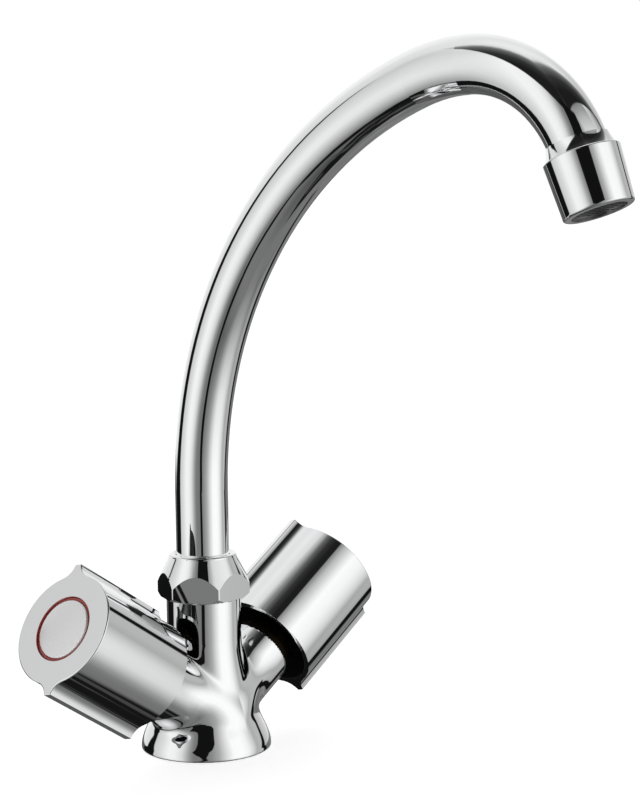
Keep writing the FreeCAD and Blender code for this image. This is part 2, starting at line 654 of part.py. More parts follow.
def handle_shell():
    """The open handle with its ridges, screw boss and the recess of its index."""
    face = handle_outline()
    face.translate(vector(0, 0, HANDLE_RIM))
    shell = face.extrude(vector(0, 0, HANDLE_FACE - HANDLE_RIM))
    shell = shell.makeFillet(RIDGE_EDGE_ROUND, [e for e in shell.Edges if is_ridge_edge(e)])
    rim = [e for e in shell.Edges if e.BoundBox.ZMin > HANDLE_FACE - HANDLE_FACE_ROUND]
    shell = shell.makeFillet(HANDLE_FACE_ROUND, rim)
    cup_foot = RECESS_FLOOR - CUP_FLOOR
    end_wall = HANDLE_FACE - HANDLE_END_WALL
    shell = shell.cut(rod(HANDLE_RADIUS - HANDLE_WALL, HANDLE_RIM - OVERRUN, end_wall))
    shell = shell.fuse([rod(INDEX_RECESS_RADIUS + CUP_WALL, cup_foot, end_wall + OVERLAP),
                        rod(HANDLE_BOSS_RADIUS, INSERT_FOOT, cup_foot + OVERLAP)])
    cuts = [rod(INDEX_RECESS_RADIUS, RECESS_FLOOR, HANDLE_FACE + OVERRUN),
            rod(SCREW_WELL_RADIUS, WEB_TOP, RECESS_FLOOR + OVERRUN),
            rod(SCREW_HOLE_RADIUS, WEB_FOOT - OVERRUN, WEB_TOP + OVERRUN),
            rod(INSERT_RADIUS + PRESS_FIT, INSERT_FOOT - OVERRUN, WEB_FOOT)]
    return shell.cut(cuts).removeSplitter()


def handle_insert():
    """The splined bush pressed into the handle's boss."""
    toothed = spline(SPLINE_TIP_RADIUS + SPLINE_PLAY, SPLINE_ROOT_RADIUS + SPLINE_PLAY,
                     INSERT_FOOT - OVERRUN, SPINDLE_TOP + SEAT_PLAY)
    through = rod(SCREW_HOLE_RADIUS, SPINDLE_TOP, WEB_FOOT + OVERRUN)
    return rod(INSERT_RADIUS, INSERT_FOOT, WEB_FOOT).cut([toothed, through])


def handle_screw():
    """The slotted screw that holds the handle on the spindle."""
    head_top = WEB_TOP + SCREW_HEAD_HEIGHT
    head = rod(SCREW_HEAD_RADIUS, WEB_TOP, head_top)
    shank = rod(SCREW_SHANK_RADIUS, WEB_TOP - SCREW_SHANK_LENGTH, WEB_TOP + OVERLAP)
    screw = head.fuse(shank).removeSplitter()
    slot_foot = head_top - SCREW_SLOT_DEPTH
    slot_top = head_top + OVERRUN
    return screw.cut([block(SCREW_SLOT_LENGTH, SCREW_SLOT_WIDTH, slot_foot, slot_top),
                      block(SCREW_SLOT_WIDTH, SCREW_SLOT_LENGTH, slot_foot, slot_top)])


def index_ring():
    outer = INDEX_RECESS_RADIUS - SEAT_PLAY
    return ring(INDEX_RING_BORE, outer, RECESS_FLOOR, HANDLE_FACE - INDEX_RING_SINK)


def index_button():
    """The domed cap over the handle's screw."""
    edge = HANDLE_FACE - BUTTON_EDGE_SINK
    top = edge + BUTTON_DOME
    sphere = (BUTTON_RADIUS ** 2 + BUTTON_DOME ** 2) / (2 * BUTTON_DOME)
    half = math.asin(BUTTON_RADIUS / sphere) / 2
    middle = (sphere * math.sin(half), top - sphere * (1 - math.cos(half)))
    inner = BUTTON_RADIUS - BUTTON_WALL
    return turned((inner, RECESS_FLOOR),
                  (BUTTON_RADIUS, RECESS_FLOOR),
                  (BUTTON_RADIUS, edge),
                  middle + (0, top),
                  (0, edge - BUTTON_WALL),
                  (inner, edge - BUTTON_WALL))


# ------------------------------------------------------------------- the spout
def swept(radius):
    """A round bar of a given radius along the whole spout."""
    path, _end, _turn = spout_path()
    circle = Part.makeCircle(radius, vector(0, 0, TUBE_FOOT), Z_AXIS)
    return path.makePipeShell([Part.Wire(circle)], True, False)


def spout_tube():
    return swept(TUBE_RADIUS).cut(swept(TUBE_BORE))


def swivel_foot():
    """The brass foot of the spout: plug with O-ring grooves, collar and spigot."""
    spigot = TUBE_BORE - PRESS_FIT
    foot = turned((SWIVEL_WATERWAY, SWIVEL_FOOT),
                  (SWIVEL_RADIUS, SWIVEL_FOOT),
                  (SWIVEL_RADIUS, COLLAR_FOOT),
                  (SWIVEL_COLLAR_RADIUS, COLLAR_FOOT),
                  (SWIVEL_COLLAR_RADIUS, COLLAR_TOP),
                  (spigot, COLLAR_TOP),
                  (spigot, COLLAR_TOP + SWIVEL_SPIGOT_LENGTH),
                  (SWIVEL_WATERWAY, COLLAR_TOP + SWIVEL_SPIGOT_LENGTH))
    half = SPOUT_GROOVE_WIDTH / 2
    grooves = [ring(SPOUT_GROOVE_RADIUS, SWIVEL_RADIUS + OVERRUN, height - half, height + half)
               for height in spout_grooves()]
    return foot.cut(grooves)


def spout_grooves():
    return [SWIVEL_FOOT + place for place in SPOUT_GROOVE_PLACES]


def swivel_seals():
    major = SPOUT_GROOVE_RADIUS + SPOUT_RING_SECTION + PRESS_FIT
    return Part.makeCompound([bead(major, SPOUT_RING_SECTION, h) for h in spout_grooves()])


def outlet_sleeve():
    """The flared sleeve brazed round the tube's end, with the housing's thread below."""
    top = HOUSING_TOP - SLEEVE_LENGTH
    thread = SLEEVE_THREAD_RADIUS - THREAD_PLAY
    across = SLEEVE_FOOT_RADIUS - SLEEVE_TOP_RADIUS
    bow = SLEEVE_FLARE_RADIUS - math.sqrt(SLEEVE_FLARE_RADIUS ** 2 - SLEEVE_LENGTH ** 2 / 4)
    middle = (SLEEVE_TOP_RADIUS + across / 2 - bow / 2, (top + HOUSING_TOP) / 2)
    sleeve = turned((0, top),
                    (SLEEVE_TOP_RADIUS, top),
                    middle + (SLEEVE_FOOT_RADIUS, HOUSING_TOP),
                    (thread, HOUSING_TOP),
                    (thread, THREAD_END),
                    (0, THREAD_END))
    waterway = rod(TUBE_BORE, -SEAT_PLAY, THREAD_END + OVERRUN)
    sleeve = placed(sleeve.cut(waterway), outlet_frame())
    return sleeve.cut(swept(TUBE_RADIUS))


def aerator_housing():
    """The screwed sleeve round the aerator, tapered towards its rounded mouth."""
    top_round = HOUSING_TOP_ROUND
    foot_round = HOUSING_FOOT_ROUND
    bore = SLEEVE_THREAD_RADIUS
    lower_bore = CARTRIDGE_RADIUS + SEAT_PLAY
    housing = turned((bore, HOUSING_TOP),
                     (HOUSING_TOP_RADIUS - top_round, HOUSING_TOP),
                     corner_arc((HOUSING_TOP_RADIUS, HOUSING_TOP), (-top_round, 0), (0, top_round)),
                     (HOUSING_FOOT_RADIUS, HOUSING_FOOT - foot_round),
                     corner_arc((HOUSING_FOOT_RADIUS, HOUSING_FOOT), (0, -foot_round),
                                (-foot_round, 0)),
                     (HOUSING_LEDGE_RADIUS, HOUSING_FOOT),
                     (HOUSING_LEDGE_RADIUS, LEDGE_TOP),
                     (lower_bore, LEDGE_TOP),
                     (lower_bore, THREAD_END),
                     (bore, THREAD_END))
    return housing


def aerator_gasket():
    return ring(AERATOR_GASKET_BORE, CARTRIDGE_RADIUS, THREAD_END, GASKET_END)


def aerator_cartridge():
    """The plastic cup with its ring of jet holes."""
    cup_top = GASKET_END
    cup_end = LEDGE_TOP - MESH_THICKNESS
    cup = rod(CARTRIDGE_RADIUS, cup_top, cup_end)
    hollow = rod(CARTRIDGE_RADIUS - CARTRIDGE_WALL, cup_top + CARTRIDGE_PLATE, cup_end + OVERRUN)
    jets = []
    for step in range(CARTRIDGE_HOLE_COUNT):
        angle = 2 * math.pi * step / CARTRIDGE_HOLE_COUNT
        jets.append(rod(CARTRIDGE_HOLE_RADIUS, cup_top - OVERRUN,
                        cup_top + CARTRIDGE_PLATE + OVERRUN,
                        CARTRIDGE_HOLE_CIRCLE * math.cos(angle),
                        CARTRIDGE_HOLE_CIRCLE * math.sin(angle)))
    return cup.cut([hollow] + jets)


def aerator_mesh():
    """The slotted grille at the mouth, laid on the housing's ledge."""
    low = LEDGE_TOP - MESH_THICKNESS
    grille = rod(CARTRIDGE_RADIUS, low, LEDGE_TOP)
    reach = HOUSING_LEDGE_RADIUS - CARTRIDGE_WALL
    slots = []
    count = int(reach / MESH_SLOT_PITCH)
    for step in range(-count, count + 1):
        place = step * MESH_SLOT_PITCH
        length = 2 * math.sqrt(reach ** 2 - place ** 2)
        slots.append(block(length, MESH_SLOT_WIDTH, low - OVERRUN, LEDGE_TOP + OVERRUN, 0, place))
    return grille.cut(slots)


# ------------------------------------------------------------------- assembly
def fixed_pieces():
    pieces = {"body_casting": body_casting(), "base_seal": base_seal(), "spout_nut": spout_nut()}
    pieces.update(glide_rings())
    return pieces


def side_pieces(name, side, turn):
    """The valve and the handle of one side."""
    fixed = {"valve_housing": valve_housing(), "valve_lip_seal": lip_seal(),
             "valve_fixed_disc": fixed_disc()}
    moving = {"valve_turning_disc": turning_disc(), "valve_spindle": spindle(),
              "valve_spindle_seals": spindle_rings(), "valve_circlip": circlip(),
              "handle_shell": handle_shell(), "handle_insert": handle_insert(),
              "handle_screw": handle_screw(), "index_ring": index_ring(),
              "index_button": index_button()}
    pieces = {name + "_" + key: placed(shape, arm_frame(side)) for key, shape in fixed.items()}
    for key, shape in moving.items():
        pieces[name + "_" + key] = placed(shape, arm_frame(side, turn if key == "handle_shell" else 0))
    return pieces


def spout_pieces():
    pieces = {"spout_tube": spout_tube(), "spout_swivel_foot": swivel_foot(),
              "spout_swivel_seals": swivel_seals(), "outlet_sleeve": outlet_sleeve()}
    outlet = {"aerator_housing": aerator_housing(), "aerator_gasket": aerator_gasket(),
              "aerator_cartridge": aerator_cartridge(), "aerator_mesh": aerator_mesh()}
    pieces.update({key: placed(shape, outlet_frame()) for key, shape in outlet.items()})
    return pieces


def main():
    os.makedirs("parts", exist_ok=True)
    pieces = fixed_pieces()
    for name, side, turn in SIDES:
        pieces.update(side_pieces(name, side, turn))
    pieces.update(spout_pieces())
    for name, shape in pieces.items():
        save(name, shape)


main()
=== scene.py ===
import math

import bmesh
import bpy
import numpy as np
from mathutils import Euler, Matrix


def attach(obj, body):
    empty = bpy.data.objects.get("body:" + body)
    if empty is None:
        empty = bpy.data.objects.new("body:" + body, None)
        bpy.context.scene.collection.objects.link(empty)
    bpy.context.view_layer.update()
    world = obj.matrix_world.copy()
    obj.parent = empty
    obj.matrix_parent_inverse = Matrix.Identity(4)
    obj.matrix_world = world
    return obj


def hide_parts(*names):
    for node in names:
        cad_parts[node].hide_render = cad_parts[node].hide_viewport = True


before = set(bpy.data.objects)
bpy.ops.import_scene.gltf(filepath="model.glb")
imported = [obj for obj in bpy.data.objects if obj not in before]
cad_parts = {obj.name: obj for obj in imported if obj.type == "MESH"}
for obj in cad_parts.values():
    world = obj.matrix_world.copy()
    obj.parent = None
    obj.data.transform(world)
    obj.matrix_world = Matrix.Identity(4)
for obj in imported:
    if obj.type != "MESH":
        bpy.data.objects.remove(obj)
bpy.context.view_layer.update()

bl_info = {
    "name": "Two-handle kitchen mixer tap",
    "version": (1, 0, 0),
    "blender": (4, 5, 0),
    "location": "View3D > Sidebar > Mixer tap",
    "description": "Dresses the chromed mixer tap and its studio",
    "category": "Object",
}

SIDES = {"hot": -1, "cold": 1}
# The handle axes rise from one point on the spout axis, one to each side.
ARM_TILT = math.radians(32.4)
ARM_CROSS_HEIGHT = 0.0133

# Handles. Their lengths run along the handle's axis.
HANDLE_FACE = 0.0845         # of the closed end
HANDLE_END_WALL = 0.0022
HANDLE_BORE = 0.0191         # radius of the hollow
RECESS_FLOOR = 0.0808        # of the round recess in the face
HOLLOW_MARGIN = 0.0002       # how far the painted shade reaches past the hollow's radius
# The hollow inside each handle is painted near black: painted shade for the unlit hollow, not the
# shell's own colour.
HOLLOW_PAINTED_SHADE = (0.006, 0.006, 0.006, 1.0)
HOLLOW_ROUGHNESS = 0.7

# Buttons and rings in the faces.
BUTTON_EDGE = 0.0004         # rounding of the button's edge
BUTTON_RINGS = 14            # of faces on the dome
RING_EDGE = 0.0003           # rounding of the ring's edges
RING_PLAY = 0.00005          # between button and ring
RING_DARKEST = 0.55          # how bright the grain leaves the ring's colour

# Casting.
WAIST_SLOPE = -0.3           # of its radius by height, at the waist
BLEND_LIFT = 0.1             # of the widest blend over the arm's axis, in arm radii
BLEND_REACH = 0.75           # from there to the tight blend, in arm radii
REMESH_ROUNDS = 3
SETTLE_ROUNDS = 8
LEAST_STEEPNESS = 0.25       # of the field, squared, where a point is moved by it
FLANK_STEP = 1e-5            # for the slope of the flank
FIELD_STEP = 2e-6            # for the slope of the field
SKIN_DEPTH = 2e-6            # within which a point lies on the skin
# What is bored into it.
INLET_OFFSET = 0.0095
INLET_RADIUS = 0.00446
INLET_DEPTH = 0.011
STUD_OFFSET = 0.0135
STUD_RADIUS = 0.0034
STUD_DEPTH = 0.012
SEAL_INNER = 0.02095
SEAL_OUTER = 0.02305
SEAL_DEPTH = 0.0016
SWIVEL_RADIUS = 0.01075
SWIVEL_FLOOR = 0.044
VALVE_RADIUS = 0.01035
VALVE_FLOOR = 0.016
# Where the bores leave it.
UNDER_FOOT = -0.001
OVER_NECK = 0.08
PAST_ARM = 0.045

# Union nut.
NUT_FLAT = math.radians(0.5)     # faces that turn less than this become one
NUT_CORNER = math.radians(20)    # an edge that turns more than this is bevelled

TURN_STEPS = 160             # of a turned piece
ROD_STEPS = 96               # of a plain cylinder
QUARTER_STEPS = 6            # of a rounded edge


# --------------------------------------------------------------------- settings
def length(name, description, default, low=0.0, high=0.1):
    """A size in metres, as a property."""
    return bpy.props.FloatProperty(name=name, description=description, default=default,
                                   min=low, max=high, subtype="DISTANCE", unit="LENGTH")


def factor(name, description, default, high=1.0):
    """A plain number from 0 upwards, as a property."""
    return bpy.props.FloatProperty(name=name, description=description, default=default,
                                   min=0.0, max=high, subtype="FACTOR")


def tint(name, description, default):
    """A colour, as a property."""
    return bpy.props.FloatVectorProperty(name=name, description=description, default=default,
                                         min=0.0, max=1.0, subtype="COLOR")


class TapFinish(bpy.types.PropertyGroup):
    """Colours and polish of the tap"""

    chrome_tint: tint("Chrome", "Colour of the chrome plating", (0.93, 0.935, 0.94))
    chrome_roughness: factor("Chrome roughness", "How much the plating blurs what it mirrors",
                             0.03)
    ripple: length("Ripple", "Height of the soft ripple that polishing leaves on the casting",
                   0.000014, high=0.001)
    nut_bevel: length("Nut bevel", "Width of the bevel on the nut's corners", 0.0004, high=0.001)
    hot_tint: tint("Hot ring", "Colour of the ring on the hot handle", (0.62, 0.05, 0.028))
    cold_tint: tint("Cold ring", "Colour of the ring on the cold handle", (0.012, 0.06, 0.42))


class TapBodySizes(bpy.types.PropertyGroup):
    """Sizes of the casting's outside"""

    rim_radius: length("Foot radius", "Radius of the foot's widest ring", 0.0248)
    rim_height: length("Foot ring", "Height of the foot's widest ring", 0.001)
    waist_radius: length("Waist radius", "Radius of the waist over the foot", 0.0201)
    waist_height: length("Waist height", "Height of the waist", 0.0145)
    column_radius: length("Column radius", "Radius of the upright column", 0.01415)
    column_foot: length("Column foot", "Height where the taper becomes a cylinder", 0.043)
    column_top: length("Column top", "Height of the shoulder under the nut", 0.0585)
    neck_radius: length("Neck radius", "Radius of the threaded neck in the nut", 0.01315)
    neck_top: length("Neck top", "Height of the neck's end", 0.0681)
    arm_radius: length("Arm radius", "Radius of the arms", 0.0136)
    arm_end: length("Arm end", "End of an arm, along its axis", 0.0355)
    blend: length("Blend", "How far from a corner the arms start to run into the column",
                  0.015, low=0.001)
    blend_tight: length("Tight blend", "The same, over and under the arms", 0.0045, low=0.001)
    edge: length("Edge", "Rounding of the foot's and the arms' edges", 0.0008, low=0.0001)
    mesh_size: length("Mesh size", "Width of a face of the casting's mesh", 0.0006, low=0.0003)


class TapIndexSizes(bpy.types.PropertyGroup):
    """Sizes of the button and ring in a handle's face"""

    button_radius: length("Button radius", "Radius of the chromed button", 0.0111,
                          low=0.002, high=0.0111)
    button_dome: length("Button dome", "Rise of the button's middle over its edge", 0.0005,
                        high=0.0005)
    button_sink: length("Button sink", "Depth of the button's edge below the handle's face",
                        0.0001, high=0.001)
    ring_width: length("Ring width", "Width of the coloured ring", 0.00125,
                       low=0.0005, high=0.00125)
    ring_sink: length("Ring sink", "Depth of the coloured ring below the handle's face",
                      0.0009, high=0.002)


class TapStudioSizes(bpy.types.PropertyGroup):
    """Floor and light of the studio"""

    floor_size: length("Floor", "Half the width of the floor", 6.0, low=1.0, high=50.0)
    floor_glow: factor("Floor glow", "Brightness that the floor adds of its own", 0.66)
    wall_light: factor("Wall light", "Brightness of the studio's walls", 1.0, high=4.0)


# ------------------------------------------------------------------ node helpers
def wire(tree, source, target):
    """Link a socket, or put a plain value on the target socket."""
    if isinstance(source, bpy.types.NodeSocket):
        tree.links.new(source, target)
    else:
        target.default_value = source


def wire_all(tree, sources, targets):
    for source, target in zip(sources, targets):
        wire(tree, source, target)


def math_node(tree, operation, *values):
    node = tree.nodes.new("ShaderNodeMath")
    node.operation = operation
    wire_all(tree, values, node.inputs)
    return node.outputs[0]


def vector_node(tree, operation, *values, output="Vector"):
    node = tree.nodes.new("ShaderNodeVectorMath")
    node.operation = operation
    wire_all(tree, values, node.inputs)
    return node.outputs[output]


def mixed(tree, share, first, second):
    """Blend of two plain values."""
    node = tree.nodes.new("ShaderNodeMix")
    wire(tree, share, node.inputs["Factor"])
    wire(tree, first, node.inputs["A"])
    wire(tree, second, node.inputs["B"])
    return node.outputs["Result"]


def mixed_colour(tree, share, first, second):
    """Blend of two colours, whose sockets share their names with those of plain values."""
    node = tree.nodes.new("ShaderNodeMix")
    node.data_type = "RGBA"
    wire(tree, share, node.inputs["Factor"])
    wire(tree, first, node.inputs[6])
    wire(tree, second, node.inputs[7])
    return node.outputs[2]


def step_node(tree, value, edge, softness):
    """0 below the edge and 1 above it, with a soft step."""
    node = tree.nodes.new("ShaderNodeMapRange")
    node.interpolation_type = "SMOOTHSTEP"
    wire(tree, value, node.inputs["Value"])
    wire(tree, math_node(tree, "SUBTRACT", edge, softness), node.inputs["From Min"])
    wire(tree, math_node(tree, "ADD", edge, softness), node.inputs["From Max"])
    return node.outputs["Result"]


def profile_node(tree, value, points, low=0.0, high=1.0):
    """A curve through (value, result) points, with results from low to high."""
    first, last = points[0][0], points[-1][0]
    place = math_node(tree, "DIVIDE", math_node(tree, "SUBTRACT", value, first), last - first)
    node = tree.nodes.new("ShaderNodeValToRGB")
    wire(tree, place, node.inputs[0])
    elements = node.color_ramp.elements
    while len(elements) < len(points):
        elements.new(0.5)
    for element, (at, result) in zip(elements, points):
        element.position = (at - first) / (last - first)
        shade = (result - low) / (high - low)
        element.color = (shade, shade, shade, 1.0)
    return math_node(tree, "MULTIPLY_ADD", node.outputs[0], high - low, low)


def noise_node(tree, place, scale, detail, roughness=0.5):
    node = tree.nodes.new("ShaderNodeTexNoise")
    wire(tree, place, node.inputs["Vector"])
    wire(tree, scale, node.inputs["Scale"])
    node.inputs["Detail"].default_value = detail
    node.inputs["Roughness"].default_value = roughness
    return node.outputs["Fac"]


def group_tree(name, inputs, outputs):
    """An empty shader group with its sockets, and both its end nodes."""
    tree = bpy.data.node_groups.new(name, "ShaderNodeTree")
    for label, kind, value in inputs:
        socket = tree.interface.new_socket(label, in_out="INPUT", socket_type=kind)
        if value is not None:
            socket.default_value = value
    for label, kind in outputs:
        tree.interface.new_socket(label, in_out="OUTPUT", socket_type=kind)
    return tree, tree.nodes.new("NodeGroupInput").outputs, tree.nodes.new("NodeGroupOutput").inputs


def grain_group():
    """Cloudy and fine grain of a surface: shade, roughness and height, from Object coordinates."""
    name = "surface grain"
    if name in bpy.data.node_groups:
        return bpy.data.node_groups[name]
    inputs = (("Vector", "NodeSocketVector", None),
              ("Cloud Scale", "NodeSocketFloat", 60.0),
              ("Grain Scale", "NodeSocketFloat", 2500.0),
              ("Grain Share", "NodeSocketFloat", 0.3),
              ("Roughness Low", "NodeSocketFloat", 0.2),
              ("Roughness High", "NodeSocketFloat", 0.4))
    outputs = (("Shade", "NodeSocketFloat"), ("Roughness", "NodeSocketFloat"),
               ("Height", "NodeSocketFloat"))
    tree, given, result = group_tree(name, inputs, outputs)
    cloud = noise_node(tree, given["Vector"], given["Cloud Scale"], 3.0)
    grain = noise_node(tree, given["Vector"], given["Grain Scale"], 4.0, 0.65)
    blend = mixed(tree, given["Grain Share"], cloud, grain)
    wire(tree, blend, result["Height"])
    wire(tree, grain, result["Shade"])
    # the noise keeps near its middle, so it is spread to the full range
    spread = math_node(tree, "MULTIPLY_ADD", blend, 2.4, -0.7)
    spread.node.use_clamp = True
    wire(tree, mixed(tree, spread, given["Roughness Low"], given["Roughness High"]),
         result["Roughness"])
    return tree


def hollow_group():
    """1 inside the hollow of a turned piece, told by its axis, radius and closed end."""
    name = "hollow of a handle"
    if name in bpy.data.node_groups:
        return bpy.data.node_groups[name]
    inputs = (("Vector", "NodeSocketVector", None),
              ("Axis", "NodeSocketVector", None),
              ("Radius", "NodeSocketFloat", 0.01),
              ("Depth", "NodeSocketFloat", 0.05))
    tree, given, result = group_tree(name, inputs, (("Mask", "NodeSocketFloat"),))
    height = vector_node(tree, "DOT_PRODUCT", given["Vector"], given["Axis"], output="Value")
    foot = tree.nodes.new("ShaderNodeVectorMath")
    foot.operation = "SCALE"
    wire(tree, given["Axis"], foot.inputs[0])
    wire(tree, height, foot.inputs["Scale"])
    off = vector_node(tree, "DISTANCE", given["Vector"], foot.outputs[0], output="Value")
    within = math_node(tree, "LESS_THAN", off, given["Radius"])
    below = math_node(tree, "LESS_THAN", height, given["Depth"])
    wire(tree, math_node(tree, "MULTIPLY", within, below), result["Mask"])
    return tree


# ---------------------------------------------------------------------- finishes
def new_material(name):
    """A material with its tree, its shader and the place on the piece."""
    material = bpy.data.materials.new(name)
    material.use_nodes = True
    tree = material.node_tree
    place = tree.nodes.new("ShaderNodeTexCoord").outputs["Object"]
    return material, tree, tree.nodes["Principled BSDF"], place


def placed_group(tree, group, place, **values):
    """A group node in a material, its inputs set by name."""
    node = tree.nodes.new("ShaderNodeGroup")
    node.node_tree = group
    wire(tree, place, node.inputs["Vector"])
    for name, value in values.items():
        wire(tree, value, node.inputs[name.replace("_", " ")])
    return node.outputs


def bumped(tree, shader, height, distance):
    """Feed a height to the shader's normal, as a relief of this distance."""
    bump = tree.nodes.new("ShaderNodeBump")
    bump.inputs["Distance"].default_value = distance
    bump.inputs["Strength"].default_value = 1.0
    wire(tree, height, bump.inputs["Height"])
    wire(tree, bump.outputs["Normal"], shader.inputs["Normal"])


def dimmed(colour, share):
    return tuple(share * part for part in colour)


def solid(colour):
    return tuple(colour) + (1.0,)


def chrome(name, finish, ripple, cloud=60.0):
    """Polished chrome with a faint ripple and a fine haze."""
    material, tree, shader, place = new_material(name)
    polish = finish.chrome_roughness
    grain = placed_group(tree, grain_group(), place, Cloud_Scale=cloud, Grain_Scale=2600.0,
                         Grain_Share=0.02, Roughness_Low=polish * 0.6,
                         Roughness_High=polish * 1.5)
    hazy = dimmed(finish.chrome_tint, 0.97)
    colour = mixed_colour(tree, grain["Shade"], solid(hazy), solid(finish.chrome_tint))
    wire(tree, colour, shader.inputs["Base Color"])
    wire(tree, grain["Roughness"], shader.inputs["Roughness"])
    shader.inputs["Metallic"].default_value = 1.0
    bumped(tree, shader, grain["Height"], ripple)
    return material


def handle_chrome(name, finish, side):
    """Chrome outside, and the hollow inside painted a dull black as painted shade."""
    material = chrome(name, finish, finish.ripple * 0.3)
    tree = material.node_tree
    shader = tree.nodes["Principled BSDF"]
    place = tree.nodes["Texture Coordinate"].outputs["Object"]
    lowered = vector_node(tree, "SUBTRACT", place, (0.0, 0.0, ARM_CROSS_HEIGHT))
    axis = (side * math.cos(ARM_TILT), 0.0, math.sin(ARM_TILT))
    inside = placed_group(tree, hollow_group(), lowered, Axis=axis,
                          Radius=HANDLE_BORE + HOLLOW_MARGIN,
                          Depth=HANDLE_FACE - HANDLE_END_WALL)["Mask"]
    plated = shader.inputs["Base Color"].links[0].from_socket
    polished = shader.inputs["Roughness"].links[0].from_socket
    # painted shade: inside the hollow the colour is painted black and not metallic, for the shadow
    # in it
    wire(tree, mixed_colour(tree, inside, plated, HOLLOW_PAINTED_SHADE), shader.inputs["Base Color"])
    wire(tree, mixed(tree, inside, polished, HOLLOW_ROUGHNESS), shader.inputs["Roughness"])
    wire(tree, math_node(tree, "SUBTRACT", 1.0, inside), shader.inputs["Metallic"])
    return material


def grained(name, dark, light, rough, metallic=0.0, grain=2500.0, cloud=80.0, share=0.4,
            relief=0.00002, coat=0.0, specular=0.5):
    """A finish that varies between two shades, with a grain."""
    material, tree, shader, place = new_material(name)
    low, high = rough
    surface = placed_group(tree, grain_group(), place, Cloud_Scale=cloud, Grain_Scale=grain,
                           Grain_Share=share, Roughness_Low=low, Roughness_High=high)
    wire(tree, mixed_colour(tree, surface["Shade"], solid(dark), solid(light)),
         shader.inputs["Base Color"])
    wire(tree, surface["Roughness"], shader.inputs["Roughness"])
    shader.inputs["Metallic"].default_value = metallic
    shader.inputs["Coat Weight"].default_value = coat
    shader.inputs["Coat Roughness"].default_value = 0.08
    shader.inputs["Specular IOR Level"].default_value = specular
    bumped(tree, shader, surface["Height"], relief)
    return material


def paint(slot, material):
    """Put a finish on every CAD piece of one slot."""
    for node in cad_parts.values():
        for held in node.material_slots:
            if held.material and held.material.name.split(".")[0] == slot:
                held.material = material


# ------------------------------------------------------------------------ shapes
def handle_place(side):
    """Where a handle stands: its z axis runs out along the arm."""
    lean = Matrix.Rotation(side * (math.pi / 2 - ARM_TILT), 4, "Y")
    return Matrix.Translation((0.0, 0.0, ARM_CROSS_HEIGHT)) @ lean


def finished_mesh(mesh, name):
    """The mesh that a bmesh holds, which is freed."""
    data = bpy.data.meshes.new(name)
    mesh.to_mesh(data)
    mesh.free()
    return data


def new_piece(name, data):
    """An object of this mesh, put into the scene."""
    piece = bpy.data.objects.new(name, data)
    bpy.context.collection.objects.link(piece)
    return piece


def mount(piece, node, body):
    """Let a piece stand for a CAD node, on the body it moves with."""
    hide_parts(node)
    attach(piece, body)


def quarter(middle, radius, start):
    """Points of a quarter circle in a profile, from the angle start, turning clockwise."""
    points = []
    for step in range(QUARTER_STEPS + 1):
        angle = start - math.pi / 2 * step / QUARTER_STEPS
        points.append((middle[0] + radius * math.cos(angle), middle[1] + radius * math.sin(angle)))
    return points


def turned(name, profile, place, closed=False):
    """A piece turned about the z axis from (radius, height) points, set in its place."""
    mesh = bmesh.new()
    corners = [mesh.verts.new((radius, 0.0, height)) for radius, height in profile]
    loop = corners + corners[:1] if closed else corners
    edges = [mesh.edges.new(pair) for pair in zip(loop, loop[1:])]
    bmesh.ops.spin(mesh, geom=corners + edges, cent=(0, 0, 0), axis=(0, 0, 1),
                   angle=2 * math.pi, steps=TURN_STEPS, use_merge=True, use_duplicate=False)
    bmesh.ops.remove_doubles(mesh, verts=mesh.verts, dist=1e-7)
    bmesh.ops.recalc_face_normals(mesh, faces=mesh.faces)
    bmesh.ops.transform(mesh, matrix=place, verts=mesh.verts)
    for face in mesh.faces:
        face.smooth = True
    return new_piece(name, finished_mesh(mesh, name))


def button_profile(sizes):
    """Half the outline of the domed button, from its middle over the edge to its back."""
    radius = sizes.button_radius
    shoulder = HANDLE_FACE - sizes.button_sink
    flat = radius - BUTTON_EDGE
    dome = []
    for ring in range(BUTTON_RINGS):
        off = flat * ring / BUTTON_RINGS
        dome.append((off, shoulder + sizes.button_dome * (1 - (off / flat) ** 2)))
    corner = quarter((flat, shoulder - BUTTON_EDGE), BUTTON_EDGE, math.pi / 2)
    return dome + corner + [(radius, RECESS_FLOOR), (0.0, RECESS_FLOOR)]


def ring_profile(sizes):
    """Outline of the coloured ring, rounded at the top."""
    inner = sizes.button_radius + RING_PLAY
    outer = inner + sizes.ring_width
    top = HANDLE_FACE - sizes.ring_sink - RING_EDGE
    left = quarter((inner + RING_EDGE, top), RING_EDGE, math.pi)
    right = quarter((outer - RING_EDGE, top), RING_EDGE, math.pi / 2)
    return [(inner, RECESS_FLOOR)] + left + right + [(outer, RECESS_FLOOR)]


def rod(mesh, radius, low, high, place=None, shift=(0.0, 0.0)):
    """A cylinder between two heights on the z axis of a place, added to a bmesh."""
    middle = Matrix.Translation((shift[0], shift[1], (low + high) / 2))
    matrix = (place or Matrix.Identity(4)) @ middle
    bmesh.ops.create_cone(mesh, cap_ends=True, segments=ROD_STEPS, radius1=radius,
                          radius2=radius, depth=high - low, matrix=matrix)


def modified(data, kind, **settings):
    """A mesh after one modifier."""
    holder = new_piece("holder", data)
    modifier = holder.modifiers.new(kind, kind)
    for name, value in settings.items():
        setattr(modifier, name, value)
    shown = holder.evaluated_get(bpy.context.evaluated_depsgraph_get())
    result = bpy.data.meshes.new_from_object(shown)
    bpy.data.objects.remove(holder)
    return result


def mesh_points(data):
    points = np.zeros(len(data.vertices) * 3)
    data.vertices.foreach_get("co", points)
    return points.reshape(-1, 3)


